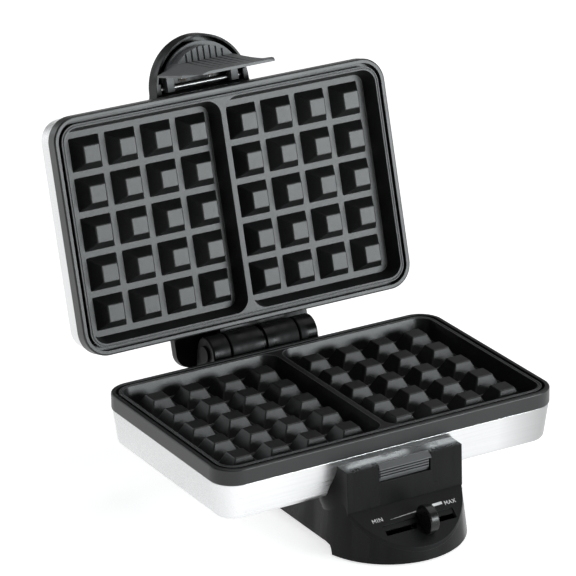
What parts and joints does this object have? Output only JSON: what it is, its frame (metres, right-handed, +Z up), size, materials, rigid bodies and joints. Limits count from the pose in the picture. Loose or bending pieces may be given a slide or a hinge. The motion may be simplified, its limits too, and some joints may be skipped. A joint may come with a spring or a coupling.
{
  "type": "waffle maker",
  "caption": "Electric waffle maker, shown open: hinged lid and base with waffle-grid plates, a latch at the lid's front edge and a browning slider on a long black pedestal.",
  "frame": {"origin": "on the table, at the middle of the whole open machine's box", "axes": "+X is the user's right, +Y is the back, +Z is up; the lid's hinge runs along X"},
  "size_m": [0.2374, 0.2862, 0.2531],
  "materials": {
    "stainless": "satin brushed",
    "black_plastic": "semi-gloss moulded",
    "charcoal_plastic": "fine-grained moulded",
    "panel_plastic": "matt moulded with white printing",
    "knob_plastic": "gloss moulded",
    "non_stick": "cast, with a dark non-stick coat",
    "element_sheath": "heat-darkened sheath",
    "reflector_sheet": "bright rolled",
    "plated_steel": "zinc plated",
    "rubber": "matt",
    "lens_red": "clear tinted",
    "lens_green": "clear tinted",
    "lamp_glass": "clear",
    "ceramic": "glazed ceramic look",
    "wire_insulation": "heat-resistant sleeve",
    "fuse_can": "drawn can"
  },
  "bodies": {
    "base": {"base_shell": "stainless", "base_rim": "black_plastic", "lower_grid_plate": "non_stick", "lower_heating_element": "element_sheath", "lower_heat_reflector": "reflector_sheet", "lower_plate_straps": "plated_steel", "lower_plate_screws": "plated_steel", "pedestal": "black_plastic", "pedestal_cover": "black_plastic", "cover_screws": "plated_steel", "tray_screws": "plated_steel", "rubber_feet": "rubber", "latch_catch": "charcoal_plastic", "control_panel": "panel_plastic", "thermostat_body": "ceramic", "thermostat_bracket": "plated_steel", "terminal_block": "ceramic", "thermal_fuse": "fuse_can", "base_wires": "wire_insulation", "cord_gland": "rubber", "hinge_pins": "plated_steel"},
    "lid": {"lid_shell": "stainless", "lid_rim": "black_plastic", "upper_grid_plate": "non_stick", "upper_heating_element": "element_sheath", "upper_heat_reflector": "reflector_sheet", "upper_plate_straps": "plated_steel", "upper_plate_screws": "plated_steel", "lid_wires": "wire_insulation", "lid_hinge_cover": "black_plastic", "lid_handle": "black_plastic", "handle_screws": "plated_steel", "power_lamp_lens": "lens_red", "ready_lamp_lens": "lens_green", "indicator_lamps": "lamp_glass", "latch_pin": "plated_steel"},
    "latch": {"latch_lever": "charcoal_plastic"},
    "slider": {"browning_knob": "knob_plastic", "slider_carriage": "charcoal_plastic"},
    "spindle": {"thermostat_spindle": "plated_steel", "selector_fork": "plated_steel"}
  },
  "joints": [
    {"name": "lid_hinge", "type": "hinge", "parent": "base", "child": "lid", "pos_m": [0, 0.05951, 0.0692], "axis": [1, 0, 0], "range_deg": [0, 104.85]},
    {"name": "latch_pivot", "type": "hinge", "parent": "lid", "child": "latch", "pos_m": [0, 0.12885, 0.22224], "axis": [1, 0, 0], "range_deg": [-8, 1.2]},
    {"name": "browning_slide", "type": "slide", "parent": "base", "child": "slider", "axis": [1, 0, 0], "range_m": [-0.0205, 0.0145]},
    {"name": "thermostat_turn", "type": "hinge", "parent": "base", "child": "spindle", "pos_m": [0.0016, -0.10312, 0.02574], "axis": [0, -0.592, 0.8059], "range_deg": [-40.2, 28.6]}
  ],
  "couplings": [
    {"joint": "thermostat_turn", "follows": "browning_slide", "rad_per_m": 33.85}
  ]
}
